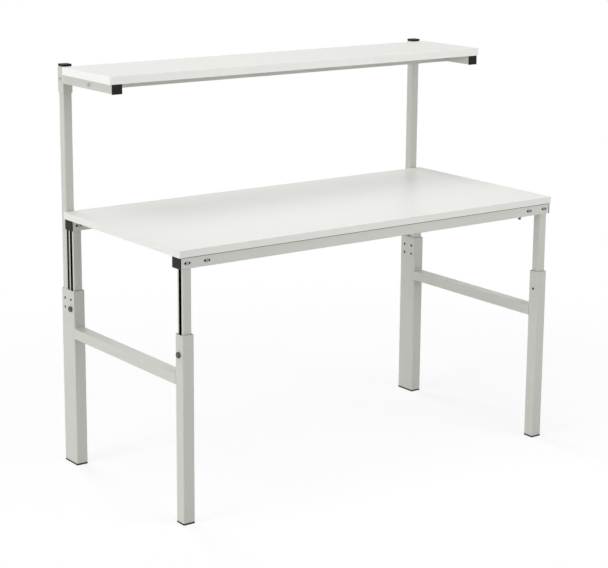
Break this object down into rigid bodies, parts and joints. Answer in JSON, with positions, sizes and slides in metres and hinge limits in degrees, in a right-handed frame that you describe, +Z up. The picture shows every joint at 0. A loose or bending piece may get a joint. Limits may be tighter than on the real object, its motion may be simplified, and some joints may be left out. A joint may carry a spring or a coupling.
{
  "type": "antistatic workbench",
  "caption": "Height-adjustable antistatic workbench: a light grey laminate worktop on telescopic steel legs, with a laminate shelf clamped to its rear uprights.",
  "frame": {"origin": "at floor level, under the middle of the whole bench (its bounding box's bottom centre)", "axes": "+X along the bench's length to the user's right, +Y from the front edge to the uprights behind, +Z up"},
  "size_m": [1.5, 0.739, 1.3328],
  "materials": {
    "laminate": "matt light grey dissipative laminate on chipboard, edges banded in the same colour",
    "coated_steel": "fine-textured light grey powder coat, semi-matt",
    "black_plastic": "moulded black plastic, semi-matt",
    "zinc": "bright zinc-plated steel"
  },
  "bodies": {
    "base": {"front_leg_left": "coated_steel", "rear_leg_left": "coated_steel", "cross_bar_left": "coated_steel", "front_foot_left": "black_plastic", "rear_foot_left": "black_plastic", "glide_front_left": "black_plastic", "glide_rear_left": "black_plastic", "clamp_plate_front_left": "zinc", "clamp_plate_rear_left": "zinc", "upright_left": "coated_steel", "upright_cap_left": "black_plastic", "upright_screw_left": "zinc", "front_leg_right": "coated_steel", "rear_leg_right": "coated_steel", "cross_bar_right": "coated_steel", "front_foot_right": "black_plastic", "rear_foot_right": "black_plastic", "glide_front_right": "black_plastic", "glide_rear_right": "black_plastic", "clamp_plate_front_right": "zinc", "clamp_plate_rear_right": "zinc", "upright_right": "coated_steel", "upright_cap_right": "black_plastic", "upright_screw_right": "zinc"},
    "table": {"worktop": "laminate", "front_beam": "coated_steel", "rear_beam": "coated_steel", "grounding_stud": "zinc", "inner_leg_front_left": "coated_steel", "beam_cap_front_left": "black_plastic", "beam_screw_front_left_1": "zinc", "beam_screw_front_left_2": "zinc", "inner_leg_front_right": "coated_steel", "beam_cap_front_right": "black_plastic", "beam_screw_front_right_1": "zinc", "beam_screw_front_right_2": "zinc", "inner_leg_rear_left": "coated_steel", "beam_cap_rear_left": "black_plastic", "beam_screw_rear_left_1": "zinc", "beam_screw_rear_left_2": "zinc", "inner_leg_rear_right": "coated_steel", "beam_cap_rear_right": "black_plastic", "beam_screw_rear_right_1": "zinc", "beam_screw_rear_right_2": "zinc"},
    "shelf": {"shelf_board": "laminate", "shelf_beam": "coated_steel", "shelf_bracket_left": "coated_steel", "arm_cap_left": "black_plastic", "shelf_beam_screw_left": "zinc", "shelf_bracket_right": "coated_steel", "arm_cap_right": "black_plastic", "shelf_beam_screw_right": "zinc"},
    "clamp_bolt_front_left": {"clamp_bolt_front_left": "zinc"},
    "clamp_bolt_front_right": {"clamp_bolt_front_right": "zinc"},
    "clamp_bolt_rear_left": {"clamp_bolt_rear_left": "zinc"},
    "clamp_bolt_rear_right": {"clamp_bolt_rear_right": "zinc"},
    "collar_screw_left": {"collar_screw_left": "zinc"},
    "collar_screw_right": {"collar_screw_right": "zinc"}
  },
  "joints": [
    {"name": "worktop_height", "type": "slide", "parent": "base", "child": "table", "axis": [0, 0, 1], "range_m": [-0.2, 0.045]},
    {"name": "shelf_height", "type": "slide", "parent": "base", "child": "shelf", "axis": [0, 0, 1], "range_m": [-0.3, 0]},
    {"name": "clamp_bolt_front_left_turn", "type": "hinge", "parent": "base", "child": "clamp_bolt_front_left", "pos_m": [-0.741, -0.3485, 0.534], "axis": [-1, 0, 0], "range_deg": [0, 360]},
    {"name": "clamp_bolt_front_right_turn", "type": "hinge", "parent": "base", "child": "clamp_bolt_front_right", "pos_m": [0.741, -0.3485, 0.534], "axis": [1, 0, 0], "range_deg": [0, 360]},
    {"name": "clamp_bolt_rear_left_turn", "type": "hinge", "parent": "base", "child": "clamp_bolt_rear_left", "pos_m": [-0.741, 0.3095, 0.534], "axis": [-1, 0, 0], "range_deg": [0, 360]},
    {"name": "clamp_bolt_rear_right_turn", "type": "hinge", "parent": "base", "child": "clamp_bolt_rear_right", "pos_m": [0.741, 0.3095, 0.534], "axis": [1, 0, 0], "range_deg": [0, 360]},
    {"name": "collar_screw_left_turn", "type": "hinge", "parent": "shelf", "child": "collar_screw_left", "pos_m": [-0.7412, 0.3485, 1.2855], "axis": [-1, 0, 0], "range_deg": [0, 360]},
    {"name": "collar_screw_right_turn", "type": "hinge", "parent": "shelf", "child": "collar_screw_right", "pos_m": [0.7412, 0.3485, 1.2855], "axis": [1, 0, 0], "range_deg": [0, 360]}
  ]
}
